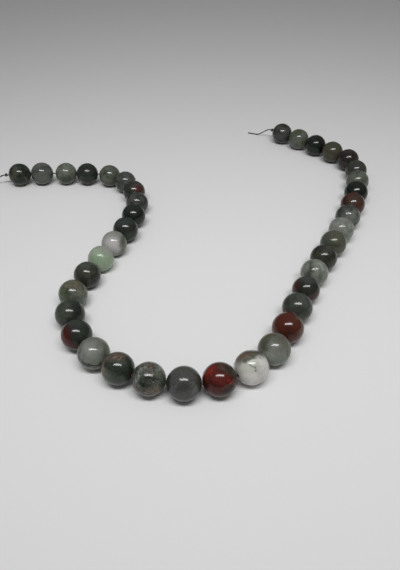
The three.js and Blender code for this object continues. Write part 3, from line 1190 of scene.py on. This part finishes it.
def matt_table(colour):
    """White laminate, matt: an even pale surface with no mirror image of the beads."""
    material = start_material("matt_white_laminate")
    tree = material.node_tree
    coordinates = add_node(tree, "ShaderNodeTexCoord")
    noise = add_node(tree, "ShaderNodeTexNoise", {
        "Vector": coordinates.outputs["Object"], "Scale": 1 / TABLE_CLOUDS, "Detail": 2.0,
    })
    body = add_node(tree, "ShaderNodeMix", {
        MIX_FACTOR: noise.outputs["Fac"], MIX_A: lit(colour, TABLE_DARK), MIX_B: lit(colour),
    }, data_type="RGBA")
    finish_material(tree, {
        "Base Color": body.outputs[MIX_RESULT], "Roughness": 0.7, "Specular IOR Level": 0.2,
    })
    return material


def model_table(settings):
    """A wide round table top."""
    deselect_all()
    bpy.ops.mesh.primitive_circle_add(
        vertices=TABLE_CORNERS, radius=settings.table_radius, fill_type="NGON",
    )
    table = bpy.context.active_object
    table.name = "table"
    bpy.ops.object.mode_set(mode="EDIT")
    bpy.ops.mesh.select_all(action="SELECT")
    bpy.ops.mesh.inset(thickness=settings.table_radius * TABLE_RING)
    bpy.ops.object.mode_set(mode="OBJECT")
    table.data.materials.append(matt_table(settings.table))
    return table


def add_lamp(name, power, height, settings):
    """A long soft lamp that hangs over the strand, a little in front of it."""
    front = PLACES[FRONT_BEAD].centre
    lamp = bpy.data.lights.new(name, "AREA")
    lamp.shape = "RECTANGLE"
    lamp.size = settings.lamp_length
    lamp.size_y = settings.lamp_width
    lamp.energy = power
    lamp.spread = settings.lamp_spread
    lamp_object = add_object(name, lamp)
    lamp_object.location = (front.x + LAMP_ACROSS * height, front.y - LAMP_BEFORE * height, height)
    lamp_object.rotation_euler.x = settings.lamp_tilt
    return lamp_object


def add_room_light(settings):
    """Soft light from the whole room, brighter from the ceiling than from the walls."""
    world = bpy.data.worlds.new("room")
    world.use_nodes = True
    tree = world.node_tree
    tree.nodes.clear()
    direction = add_node(tree, "ShaderNodeTexCoord")
    parts = add_node(tree, "ShaderNodeSeparateXYZ", {"Vector": direction.outputs["Generated"]})
    level = add_node(tree, "ShaderNodeMapRange", {
        "Value": parts.outputs["Z"], "To Min": settings.walls, "To Max": settings.ceiling,
    })
    background = add_node(tree, "ShaderNodeBackground", {
        "Color": (1.0, 1.0, 1.0, 1.0), "Strength": level.outputs["Result"],
    })
    add_node(tree, "ShaderNodeOutputWorld", {"Surface": background.outputs["Background"]})
    bpy.context.scene.world = world


def add_camera(settings):
    """The camera, at the photographer's eye."""
    camera = bpy.data.cameras.new("camera")
    camera.sensor_width = PICTURE_LENGTH
    camera.lens = settings.lens / MM
    camera.clip_start = NEAREST
    camera.clip_end = FARTHEST
    camera_object = add_object("camera", camera)
    turn = (
        Matrix.Rotation(EYE_YAW, 4, "Z")
        @ Matrix.Rotation(math.pi / 2 - EYE_PITCH, 4, "X")
        @ Matrix.Rotation(EYE_ROLL, 4, "Z")
    )
    camera_object.matrix_world = Matrix.Translation(eye_place()) @ turn
    bpy.context.scene.camera = camera_object


class STRAND_OT_table_stage(Operator):
    """Lays out the pale table, the soft light and the camera"""

    bl_idname = "strand.table_stage"
    bl_label = "Table, Light and Camera"
    bl_options = {"REGISTER", "UNDO"}

    def execute(self, context):
        settings = context.scene.strand_stage
        model_table(settings)
        add_lamp("soft_lamp", settings.lamp_power, settings.lamp_height, settings)
        # The glint lamp hangs just above the other, and shows only as its image in what is polished
        glint_lamp = add_lamp("glint_lamp", settings.glint_power, settings.lamp_height + LAMP_GAP, settings)
        glint_lamp.visible_diffuse = False
        add_room_light(settings)
        add_camera(settings)
        context.scene.view_settings.view_transform = "Standard"
        return {"FINISHED"}


class STRAND_PT_sidebar(Panel):
    """Lists the strand's pieces and their settings"""

    bl_idname = "STRAND_PT_sidebar"
    bl_label = "Bloodstone Strand"
    bl_space_type = "VIEW_3D"
    bl_region_type = "UI"
    bl_category = "Strand"

    def draw(self, context):
        scene = context.scene
        for operator, groups in (
            (STRAND_OT_table_stage, (scene.strand_stage,)),
            (STRAND_OT_polished_beads, (scene.strand_beads, scene.strand_colours)),
            (STRAND_OT_knotted_thread, (scene.strand_thread,)),
        ):
            column = self.layout.column(align=True)
            column.operator(operator.bl_idname)
            for settings in groups:
                for name in settings.__annotations__:
                    column.prop(settings, name)


CLASSES = (
    StoneColours,
    BeadSettings,
    ThreadSettings,
    StageSettings,
    STRAND_OT_table_stage,
    STRAND_OT_polished_beads,
    STRAND_OT_knotted_thread,
    STRAND_PT_sidebar,
)


def register():
    for cls in CLASSES:
        bpy.utils.register_class(cls)
    bpy.types.Scene.strand_colours = PointerProperty(type=StoneColours)
    bpy.types.Scene.strand_beads = PointerProperty(type=BeadSettings)
    bpy.types.Scene.strand_thread = PointerProperty(type=ThreadSettings)
    bpy.types.Scene.strand_stage = PointerProperty(type=StageSettings)


def unregister():
    del bpy.types.Scene.strand_stage
    del bpy.types.Scene.strand_thread
    del bpy.types.Scene.strand_beads
    del bpy.types.Scene.strand_colours
    for cls in reversed(CLASSES):
        bpy.utils.unregister_class(cls)


def main():
    """Makes the stage, the beads and the thread."""
    register()
    bpy.ops.strand.table_stage()
    bpy.ops.strand.polished_beads()
    bpy.ops.strand.knotted_thread()


if __name__ == "__main__":
    main()
